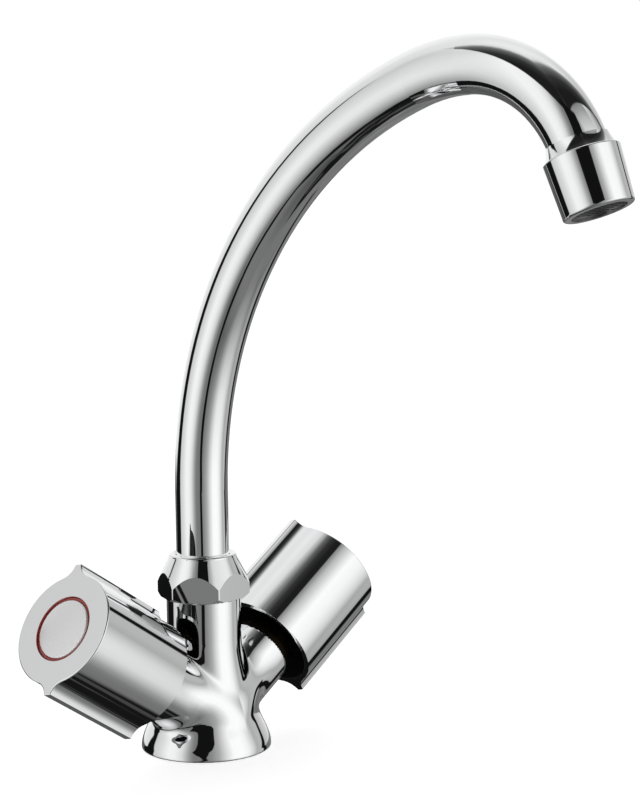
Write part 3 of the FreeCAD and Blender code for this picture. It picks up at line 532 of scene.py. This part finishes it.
def rough_casting(sizes):
    """Foot, column and arms as plain cylinders that overlap."""
    mesh = bmesh.new()
    rod(mesh, sizes.rim_radius, 0.0, sizes.waist_height / 2)
    rod(mesh, sizes.waist_radius, 0.0, (sizes.waist_height + sizes.column_foot) / 2)
    rod(mesh, sizes.column_radius, 0.0, sizes.column_top)
    rod(mesh, sizes.neck_radius, 0.0, sizes.neck_top)
    for side in SIDES.values():
        rod(mesh, sizes.arm_radius, 0.0, sizes.arm_end, handle_place(side))
    return finished_mesh(mesh, "casting")


def casting_bores():
    """Everything that is bored into the casting, as one mesh."""
    mesh = bmesh.new()
    for offset in (-INLET_OFFSET, INLET_OFFSET):
        rod(mesh, INLET_RADIUS, UNDER_FOOT, INLET_DEPTH, shift=(offset, 0.0))
    rod(mesh, STUD_RADIUS, UNDER_FOOT, STUD_DEPTH, shift=(0.0, -STUD_OFFSET))
    rod(mesh, SWIVEL_RADIUS, SWIVEL_FLOOR, OVER_NECK)
    for side in SIDES.values():
        rod(mesh, VALVE_RADIUS, VALVE_FLOOR, PAST_ARM, handle_place(side))
    groove = turned("groove", [(SEAL_INNER, UNDER_FOOT), (SEAL_OUTER, UNDER_FOOT),
                               (SEAL_OUTER, SEAL_DEPTH), (SEAL_INNER, SEAL_DEPTH)],
                    Matrix.Identity(4), closed=True)
    mesh.from_mesh(groove.data)
    bpy.data.objects.remove(groove)
    return finished_mesh(mesh, "bores")


def flank_curve(start, start_slope, end, end_slope):
    """Radius by height of a smooth curve between two points with given slopes."""
    along = end[1] - start[1]

    def radius(height):
        share = (height - start[1]) / along
        rest = 1 - share
        ends = start[0] * rest ** 2 * (1 + 2 * share) + end[0] * share ** 2 * (3 - 2 * share)
        slopes = start_slope * share * rest ** 2 - end_slope * share ** 2 * rest
        return ends + along * slopes

    return radius


def rounded_corner(one, other, edge):
    """What lies inside both distances, with its corner rounded."""
    inside = np.minimum(np.maximum(one, other) + edge, 0.0)
    return inside + np.hypot(np.maximum(one + edge, 0.0), np.maximum(other + edge, 0.0)) - edge


class CastingSkin:
    """The casting's outside as a distance field in which foot, column and arms run together."""

    def __init__(self, sizes):
        self.sizes = sizes
        rim = (sizes.rim_radius, sizes.rim_height)
        waist = (sizes.waist_radius, sizes.waist_height)
        column = (sizes.column_radius, sizes.column_foot)
        self.foot = flank_curve(rim, 0.0, waist, WAIST_SLOPE)
        self.taper = flank_curve(waist, WAIST_SLOPE, column, 0.0)
        self.axes = [np.array((side * math.cos(ARM_TILT), 0.0, math.sin(ARM_TILT)))
                     for side in SIDES.values()]

    def flank(self, height):
        """Radius of the foot and column at a height."""
        sizes = self.sizes
        parts = [height < sizes.rim_height, height < sizes.waist_height,
                 height < sizes.column_foot]
        return np.select(parts, [sizes.rim_radius, self.foot(height), self.taper(height)],
                         sizes.column_radius)

    def core(self, points):
        """Distance to the foot and column."""
        height = points[:, 2]
        rise = self.flank(height + FLANK_STEP) - self.flank(height - FLANK_STEP)
        slope = rise / (2 * FLANK_STEP)
        off = np.hypot(points[:, 0], points[:, 1]) - self.flank(height)
        return off / np.sqrt(1 + slope ** 2)

    def arm(self, points, axis):
        """Distance to one arm."""
        placed = points - np.array((0.0, 0.0, ARM_CROSS_HEIGHT))
        along = placed @ axis
        foot = np.maximum(along, 0.0)[:, None] * axis
        off = np.linalg.norm(placed - foot, axis=1) - self.sizes.arm_radius
        return rounded_corner(off, along - self.sizes.arm_end, self.sizes.edge)

    def blend(self, points):
        """Width of the blend: wide beside the arms, small over and under them."""
        lift = (points[:, 2] - ARM_CROSS_HEIGHT) * math.cos(ARM_TILT)
        lift -= np.abs(points[:, 0]) * math.sin(ARM_TILT)
        off = np.abs(lift / self.sizes.arm_radius - BLEND_LIFT) / BLEND_REACH
        off = np.clip(off, 0.0, 1.0)
        share = 1 - off ** 2 * (3 - 2 * off)
        return self.sizes.blend_tight + share * (self.sizes.blend - self.sizes.blend_tight)

    def distance(self, points):
        """Distance to the whole skin, with the shoulder and neck over it."""
        sizes = self.sizes
        height = points[:, 2]
        core = self.core(points)
        arms = np.minimum(self.arm(points, self.axes[0]), self.arm(points, self.axes[1]))
        blend = self.blend(points)
        near = np.maximum(blend - np.abs(core - arms), 0.0) / blend
        skin = np.minimum(core, arms) - near ** 3 * blend / 6
        skin = np.maximum(rounded_corner(skin, -height, sizes.edge), height - sizes.column_top)
        neck = np.hypot(points[:, 0], points[:, 1]) - sizes.neck_radius
        neck = np.maximum(neck, np.abs(height - sizes.column_top) - sizes.neck_top
                          + sizes.column_top)
        return np.minimum(skin, neck)

    def outwards(self, points):
        """Slope of the field, which points out of the casting."""
        slopes = []
        for axis in range(3):
            shift = np.zeros(3)
            shift[axis] = FIELD_STEP
            ahead = self.distance(points + shift)
            slopes.append((ahead - self.distance(points - shift)) / (2 * FIELD_STEP))
        return np.stack(slopes, axis=1)

    def settle(self, data):
        """Move a mesh's points onto the skin."""
        points = mesh_points(data)
        for _round in range(SETTLE_ROUNDS):
            slope = self.outwards(points)
            steep = np.maximum((slope ** 2).sum(axis=1), LEAST_STEEPNESS)
            points -= (self.distance(points) / steep)[:, None] * slope
        data.vertices.foreach_set("co", points.ravel())
        data.update()

    def shade(self, data):
        """Exact normals where the mesh lies on the skin, flat faces in the bores."""
        points = mesh_points(data)
        on_skin = np.abs(self.distance(points)) < SKIN_DEPTH
        slope = self.outwards(points)
        normals = slope / np.linalg.norm(slope, axis=1)[:, None]
        smooth = [all(on_skin[corner] for corner in face.vertices) for face in data.polygons]
        data.polygons.foreach_set("use_smooth", smooth)
        loops = [normals[corner] if soft else (0.0, 0.0, 0.0)
                 for face, soft in zip(data.polygons, smooth) for corner in face.vertices]
        data.normals_split_custom_set(loops)


# --------------------------------------------------------------------- operators
class TapBody(bpy.types.Operator):
    """Make the casting, its arms running softly into the column"""

    bl_idname = "tap.body"
    bl_label = "Casting"

    def execute(self, context):
        sizes = context.scene.tap_body
        finish = context.scene.tap_finish
        skin = CastingSkin(sizes)
        data = rough_casting(sizes)
        for _round in range(REMESH_ROUNDS):
            data = modified(data, "REMESH", mode="VOXEL", voxel_size=sizes.mesh_size)
            skin.settle(data)
        cutter = new_piece("bores", casting_bores())
        data = modified(data, "BOOLEAN", operation="DIFFERENCE", object=cutter, solver="EXACT")
        bpy.data.objects.remove(cutter)
        skin.shade(data)
        data.name = "casting"
        data.materials.clear()
        data.materials.append(chrome("cast chrome", finish, finish.ripple))
        mount(new_piece("casting", data), "body_casting", "tap_body")
        return {"FINISHED"}


class TapChromework(bpy.types.Operator):
    """Chrome the spout and its outlet"""

    bl_idname = "tap.chromework"
    bl_label = "Chromed parts"

    def execute(self, context):
        finish = context.scene.tap_finish
        paint("chrome", chrome("drawn chrome", finish, finish.ripple * 0.4, cloud=35.0))
        return {"FINISHED"}


class TapNut(bpy.types.Operator):
    """Make the union nut, its corners broken by a fine bevel"""

    bl_idname = "tap.nut"
    bl_label = "Union nut"

    def execute(self, context):
        finish = context.scene.tap_finish
        mesh = bmesh.new()
        mesh.from_mesh(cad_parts["spout_nut"].data)
        bmesh.ops.remove_doubles(mesh, verts=mesh.verts, dist=1e-6)
        bmesh.ops.dissolve_limit(mesh, angle_limit=NUT_FLAT, verts=mesh.verts, edges=mesh.edges)
        sharp = [edge for edge in mesh.edges
                 if len(edge.link_faces) == 2 and edge.calc_face_angle() > NUT_CORNER]
        bmesh.ops.bevel(mesh, geom=sharp, offset=finish.nut_bevel, offset_type="OFFSET",
                        segments=3, profile=0.5, affect="EDGES", clamp_overlap=True, material=-1)
        for face in mesh.faces:
            face.smooth = True
        nut = new_piece("union_nut", finished_mesh(mesh, "union_nut"))
        nut.data.materials.append(chrome("nut chrome", finish, finish.ripple * 0.3))
        weighted = nut.modifiers.new("shading", "WEIGHTED_NORMAL")
        weighted.keep_sharp = False
        mount(nut, "spout_nut", "tap_body")
        return {"FINISHED"}


class TapHandles(bpy.types.Operator):
    """Chrome both handles and paint their hollows black as painted shade"""

    bl_idname = "tap.handles"
    bl_label = "Handles"

    def execute(self, context):
        for name, side in SIDES.items():
            finish = handle_chrome(name + " handle chrome", context.scene.tap_finish, side)
            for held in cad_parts[name + "_handle_shell"].material_slots:
                held.material = finish
        return {"FINISHED"}


class TapIndex(bpy.types.Operator):
    """Make the buttons and coloured rings in the handles' faces"""

    bl_idname = "tap.index"
    bl_label = "Buttons and rings"

    def execute(self, context):
        sizes = context.scene.tap_index
        finish = context.scene.tap_finish
        tints = {"hot": finish.hot_tint, "cold": finish.cold_tint}
        cap = grained("satin chrome", (0.93, 0.93, 0.94), (0.98, 0.98, 0.98), (0.14, 0.22),
                      metallic=0.55, grain=3000.0, cloud=60.0, share=0.3, relief=0.000002)
        for name, side in SIDES.items():
            place = handle_place(side)
            body = name + "_handle"
            button = turned(name + "_button", button_profile(sizes), place)
            button.data.materials.append(cap)
            mount(button, name + "_index_button", body)
            ring = turned(name + "_ring", ring_profile(sizes), place, closed=True)
            plastic = grained(name + " ring plastic", dimmed(tints[name], RING_DARKEST),
                              tints[name], (0.22, 0.34), coat=0.4, grain=3000.0,
                              relief=0.000004)
            ring.data.materials.append(plastic)
            mount(ring, name + "_index_ring", body)
        return {"FINISHED"}


# Finishes of the inner pieces by slot: name, dark and light shade, roughness, and the rest.
INNER_FINISHES = {
    # painted shade: the brass sits in the handles' dark hollows, so its colour is darkened to near
    # black; its matt roughness is its own.
    "brass": ("dull brass in painted shade", (0.012, 0.009, 0.005), (0.045, 0.032, 0.015), (0.4, 0.65),
              {"metallic": 1.0, "relief": 0.00002}),
    "steel": ("stainless steel", (0.42, 0.43, 0.44), (0.6, 0.61, 0.62), (0.22, 0.4),
              {"metallic": 1.0, "relief": 0.00001}),
    "seal_rubber": ("black rubber", (0.012, 0.012, 0.012), (0.03, 0.03, 0.03), (0.6, 0.85),
                    {"relief": 0.00003}),
    "disc_ceramic": ("lapped ceramic", (0.78, 0.76, 0.72), (0.86, 0.85, 0.82), (0.15, 0.3),
                     {"relief": 0.000005}),
    "white_plastic": ("white plastic", (0.72, 0.72, 0.70), (0.82, 0.82, 0.80), (0.4, 0.6),
                      {"relief": 0.00001}),
    "grey_plastic": ("dark plastic", (0.012, 0.012, 0.013), (0.03, 0.03, 0.032), (0.35, 0.6),
                     {"relief": 0.00001, "specular": 0.3}),
}


class TapInside(bpy.types.Operator):
    """Finish the valves, screws, seals and plastic parts"""

    bl_idname = "tap.inside"
    bl_label = "Inner parts"

    def execute(self, context):
        for slot, (name, dark, light, rough, others) in INNER_FINISHES.items():
            paint(slot, grained(name, dark, light, rough, **others))
        return {"FINISHED"}


# ------------------------------------------------------------------------- stage
CAMERA_PLACE = (-0.5950, -0.5972, 0.2388)
CAMERA_TURN = (82.6885, 0.7378, -48.0648)    # about x, y and z, in degrees
CAMERA_LENS = 99.88
CAMERA_SENSOR = 36.0
CAMERA_RANGE = (0.01, 50.0)

# The studio round the tap is told by the bearing of a direction, from the camera's side and
# positive to the right, and by its height over the level, both in degrees.
TOWARDS_CAMERA = (-0.7428, -0.6695, 0.0)
RIGHT_OF_CAMERA = (0.6695, -0.7428, 0.0)
# Brightness of the walls near the level, by bearing.
WALLS = (
    (-180, 0.95), (-150, 0.92), (-135, 0.80), (-118, 0.76), (-104, 0.62), (-96, 0.68),
    (-85, 0.76), (-68, 0.97), (-55, 0.94), (-47, 0.84), (-41, 0.73), (-32, 0.44), (-26, 0.29),
    (-20, 0.20), (-12, 0.19), (-4, 0.18), (6, 0.23), (12, 0.27), (25, 0.42), (39, 0.76),
    (52, 1.04), (69, 1.06), (80, 0.98), (87, 0.86), (95, 0.68), (104, 0.44), (113, 0.50),
    (130, 0.50), (150, 0.66), (165, 0.90), (180, 0.95),
)
BRIGHTEST = 1.1              # of the walls near the level
# How much of it is left below the level, by height: under the left and the right wall.
LEFT_FALL = ((-90, 0.10), (-72, 0.18), (-65, 0.25), (-56, 0.40), (-40, 0.66), (-25, 0.90),
             (-12, 1.0))
RIGHT_FALL = ((-90, 0.05), (-70, 0.12), (-62, 0.18), (-54, 0.22), (-46, 0.35), (-38, 0.58),
              (-30, 0.80), (-20, 0.92), (-12, 1.0))
# Least brightness below the level, by height.
GROUND = ((-90, 0.06), (-75, 0.12), (-65, 0.18), (-52, 0.19), (-42, 0.15), (-30, 0.0))
# The floor behind the tap is cloudy: bearing and height where it starts, left and right shade.
FLOOR_BEARING = 128.0
FLOOR_LINE = -8.0
FLOOR_SHADES = (0.10, 0.19)
CLOTH_SCALE = 7.0
# A dark patch with a few lighter spots, low down and away from the camera.
PATCH_BEARING = 88.0
PATCH_HEIGHT = -67.5
PATCH_SHADE = 0.008
SPOT_SHADE = 0.05
# Black gaps between the walls: (height, bearing of the middle, half width).
LEFT_GAP = ((-66, -110, 28), (-58, -119, 27), (-50, -124, 21), (-40, -121, 12), (-30, -123, 11),
            (-20, -122, 12), (-14, -125, 19), (-10, -122, 18), (-6, -114, 12), (5, -112, 8),
            (15, -108, 3.5), (25, -107.5, 0.4))
RIGHT_GAP = ((-50, 140, 2), (-40, 138.5, 4.5), (-30, 135, 8), (-20, 133, 7), (-12, 130, 6),
             (-8, 122, 6.5), (6, 125, 4), (16, 128, 3), (28, 124, 2))
CAMERA_GAP = ((-66, -38, 7), (-60, -22, 8), (-55, -17, 6), (-45, -9.5, 5.5), (-35, -8, 4.5),
              (-20, -4.5, 5.5), (-15, -1.5, 5), (-12, 1, 5), (-8, -1.5, 4), (0, -3, 6),
              (5, -5, 10), (14, -8, 15), (21, -2, 16), (30, 2, 17), (50, 2, 18))
UPRIGHT_GAPS = ((LEFT_GAP, 1.6), (RIGHT_GAP, 1.2), (CAMERA_GAP, 1.0))    # with their softness
GAP_END_SOFTNESS = 1.5
WIDEST_GAP = 60.0
# The dark line along the foot of the left wall: (bearing, height of the middle, half width).
FOOT_GAP = ((-100, -64, 6), (-92, -68, 6), (-75, -74, 5), (-60, -74, 5), (-45, -71, 5),
            (-28, -65, 5))
FOOT_GAP_SOFTNESS = 2.0
BLACK = 0.006
# Brightness of the ceiling, by how far forward a direction points. It is lighter behind.
CEILING = ((-0.20, 0.88), (-0.05, 0.76), (0.0, 0.50), (0.05, 0.24), (0.13, 0.12), (0.3, 0.034),
           (0.5, 0.013))
CEILING_LEANS = (0.35, 0.75)     # what a direction's side counts for in that, left and right
OVERHEAD = 60.0              # height from which the ceiling spans all bearings
LEFT_TOP = 43.0              # height of the left wall's upper edge
LEFT_END = -118.0            # bearing of the left wall's far end
RIGHT_FACING = 50.0          # bearing that the right wall faces
# Brightness of the right wall, by its rise as seen straight ahead of it, up to its upper edge.
RIGHT_RISE = ((0.0, 1.2), (0.45, 1.1), (0.62, 0.92), (0.83, 0.70), (1.16, 0.46), (1.3, 0.35),
              (1.55, 0.26))
BACK_EDGE = 129.0            # bearing where the wall behind starts
BACK_TOP = 42.0              # height from which it is greyer
BACK_TOP_SHADE = 0.82
FLOOR_SHADE = (0.9, 0.9, 0.9, 1.0)
WHITE = (1.0, 1.0, 1.0, 1.0)


class Sky:
    """The nodes that tell how bright the studio is in a direction."""

    def __init__(self, tree):
        self.tree = tree
        self.direction = tree.nodes.new("ShaderNodeTexCoord").outputs["Generated"]
        self.front = self.along(TOWARDS_CAMERA)
        self.side = self.along(RIGHT_OF_CAMERA)
        self.lift = self.along((0.0, 0.0, 1.0))
        self.bearing = self.maths("DEGREES", self.maths("ARCTAN2", self.side, self.front))
        self.height = self.maths("DEGREES", self.maths("ARCSINE", self.lift))
        self.right = step_node(tree, self.bearing, 0.0, 1.0)

    def along(self, axis):
        return vector_node(self.tree, "DOT_PRODUCT", self.direction, axis, output="Value")

    def maths(self, operation, *values):
        return math_node(self.tree, operation, *values)

    def above(self, value, edge, softness):
        return step_node(self.tree, value, edge, softness)

    def below(self, value, edge, softness):
        return self.maths("SUBTRACT", 1.0, self.above(value, edge, softness))

    def both(self, *masks):
        result = masks[0]
        for mask in masks[1:]:
            result = self.maths("MULTIPLY", result, mask)
        return result

    def gap(self, along_it, across_it, points, softness):
        """1 within a dark gap, 0 elsewhere."""
        middles = [(at, middle) for at, middle, _half in points]
        halves = [(at, half) for at, _middle, half in points]
        middle = profile_node(self.tree, along_it, middles, -180.0, 180.0)
        half = profile_node(self.tree, along_it, halves, 0.0, WIDEST_GAP)
        off = self.maths("ABSOLUTE", self.maths("SUBTRACT", across_it, middle))
        return self.both(self.below(off, half, softness),
                         self.above(along_it, points[0][0], GAP_END_SOFTNESS),
                         self.below(along_it, points[-1][0], GAP_END_SOFTNESS))

    def walls(self):
        """The walls, the ground below them and the floor behind the tap."""
        tree = self.tree
        wall = profile_node(tree, self.bearing, WALLS, 0.0, BRIGHTEST)
        fall = mixed(tree, self.right,
                     profile_node(tree, self.height, LEFT_FALL),
                     profile_node(tree, self.height, RIGHT_FALL))
        bright = self.maths("MAXIMUM", self.maths("MULTIPLY", wall, fall),
                            profile_node(tree, self.height, GROUND))
        # the floor behind the tap
        off_camera = self.maths("ABSOLUTE", self.bearing)
        behind = self.above(off_camera, FLOOR_BEARING, 8.0)
        low = self.below(self.height, FLOOR_LINE, 1.5)
        cloth = noise_node(tree, self.direction, CLOTH_SCALE, 4.0, 0.6)
        shade = mixed(tree, self.right, *FLOOR_SHADES)
        shade = self.maths("MULTIPLY", shade, self.maths("MULTIPLY_ADD", cloth, 1.6, 0.2))
        bright = mixed(tree, self.both(behind, low), bright, shade)
        # the dark patch
        away = self.above(off_camera, PATCH_BEARING, 5.0)
        below = self.below(self.height, PATCH_HEIGHT, 2.0)
        spots = self.maths("MULTIPLY", self.above(cloth, 0.56, 0.05), SPOT_SHADE)
        return mixed(tree, self.both(away, below), bright, self.maths("ADD", spots, PATCH_SHADE))

    def ceiling(self, bright):
        """The walls' upper parts and the ceiling over them."""
        tree = self.tree
        level = self.maths("SQRT", self.maths("MAXIMUM", 0.0001, self.maths(
            "SUBTRACT", 1.0, self.maths("MULTIPLY", self.lift, self.lift))))
        rise = self.maths("DIVIDE", self.lift, level)
        turn = self.maths("SUBTRACT", self.bearing, RIGHT_FACING)
        facing = self.maths("COSINE", self.maths("RADIANS", turn))
        beside = self.both(self.right, self.below(self.bearing, BACK_EDGE, 1.5))
        # the right wall greys towards its upper edge
        share = self.maths("DIVIDE", rise, self.maths("MAXIMUM", facing, 0.2))
        dim = self.maths("MINIMUM", bright,
                         profile_node(tree, share, RIGHT_RISE, 0.0, RIGHT_RISE[0][1]))
        bright = mixed(tree, beside, bright, dim)
        over_right = self.both(beside, self.above(share, RIGHT_RISE[-1][0], 0.04))
        left = self.both(self.below(self.bearing, 0.0, 1.0),
                         self.above(self.bearing, LEFT_END, 4.0))
        over_left = self.both(left, self.above(self.height, LEFT_TOP, 1.5))
        lean = self.maths("MULTIPLY", mixed(tree, self.right, *CEILING_LEANS),
                          self.maths("ABSOLUTE", self.side))
        shade = profile_node(tree, self.maths("ADD", self.front, lean), CEILING)
        # the wall behind is greyer high up
        behind = self.below(self.front, 0.0, 0.02)
        high = self.both(behind, self.above(self.height, BACK_TOP, 14.0))
        bright = mixed(tree, high, bright, BACK_TOP_SHADE)
        bright = mixed(tree, self.above(self.height, OVERHEAD, 8.0), bright, shade)
        return mixed(tree, self.maths("MAXIMUM", over_right, over_left), bright, shade)

    def gaps(self, bright):
        """The black gaps over all the rest."""
        tree = self.tree
        for points, softness in UPRIGHT_GAPS:
            gap = self.gap(self.height, self.bearing, points, softness)
            bright = mixed(tree, gap, bright, BLACK)
        foot = self.gap(self.bearing, self.height, FOOT_GAP, FOOT_GAP_SOFTNESS)
        return mixed(tree, foot, bright, BLACK)


class TapStudio(bpy.types.Operator):
    """Set up the camera, the pale floor and the soft studio walls"""

    bl_idname = "tap.studio"
    bl_label = "Studio"

    def execute(self, context):
        self.camera(context)
        self.floor(context.scene.tap_studio)
        self.light(context)
        return {"FINISHED"}

    def camera(self, context):
        data = bpy.data.cameras.new("camera")
        data.lens = CAMERA_LENS
        data.sensor_width = CAMERA_SENSOR
        data.clip_start, data.clip_end = CAMERA_RANGE
        camera = new_piece("camera", data)
        turn = Euler([math.radians(angle) for angle in CAMERA_TURN]).to_matrix()
        camera.matrix_world = Matrix.Translation(CAMERA_PLACE) @ turn.to_4x4()
        context.scene.camera = camera

    def floor(self, sizes):
        mesh = bmesh.new()
        bmesh.ops.create_grid(mesh, x_segments=1, y_segments=1, size=sizes.floor_size)
        floor = new_piece("floor", finished_mesh(mesh, "floor"))
        material, _tree, shader, _place = new_material("pale floor")
        shader.inputs["Base Color"].default_value = FLOOR_SHADE
        shader.inputs["Roughness"].default_value = 0.9
        shader.inputs["Specular IOR Level"].default_value = 0.0
        shader.inputs["Emission Color"].default_value = WHITE
        shader.inputs["Emission Strength"].default_value = sizes.floor_glow
        floor.data.materials.append(material)
        floor.visible_glossy = False

    def light(self, context):
        world = bpy.data.worlds.new("soft studio")
        world.use_nodes = True
        context.scene.world = world
        tree = world.node_tree
        sky = Sky(tree)
        bright = sky.gaps(sky.ceiling(sky.walls()))
        bright = sky.maths("MULTIPLY", bright, context.scene.tap_studio.wall_light)
        seen = tree.nodes.new("ShaderNodeLightPath").outputs["Is Camera Ray"]
        wire(tree, mixed(tree, seen, bright, 1.0), tree.nodes["Background"].inputs["Color"])


STEPS = (TapBody, TapChromework, TapNut, TapHandles, TapIndex, TapInside, TapStudio)
SETTINGS = {"tap_finish": TapFinish, "tap_body": TapBodySizes, "tap_index": TapIndexSizes,
            "tap_studio": TapStudioSizes}


class TapPanel(bpy.types.Panel):
    """The tap's settings and the steps that make it"""

    bl_idname = "VIEW3D_PT_tap"
    bl_label = "Mixer tap"
    bl_space_type = "VIEW_3D"
    bl_region_type = "UI"
    bl_category = "Mixer tap"

    def draw(self, context):
        for name, group in SETTINGS.items():
            settings = getattr(context.scene, name)
            for size in group.__annotations__:
                self.layout.prop(settings, size)
        for step in STEPS:
            self.layout.operator(step.bl_idname)


def register():
    for name, group in SETTINGS.items():
        bpy.utils.register_class(group)
        setattr(bpy.types.Scene, name, bpy.props.PointerProperty(type=group))
    for shown in STEPS + (TapPanel,):
        bpy.utils.register_class(shown)


def unregister():
    for shown in reversed(STEPS + (TapPanel,)):
        bpy.utils.unregister_class(shown)
    for name, group in SETTINGS.items():
        delattr(bpy.types.Scene, name)
        bpy.utils.unregister_class(group)


def main():
    bpy.context.scene.view_settings.view_transform = "Standard"
    register()
    bpy.ops.tap.body()
    bpy.ops.tap.chromework()
    bpy.ops.tap.nut()
    bpy.ops.tap.handles()
    bpy.ops.tap.index()
    bpy.ops.tap.inside()
    bpy.ops.tap.studio()


if __name__ == "__main__":
    main()
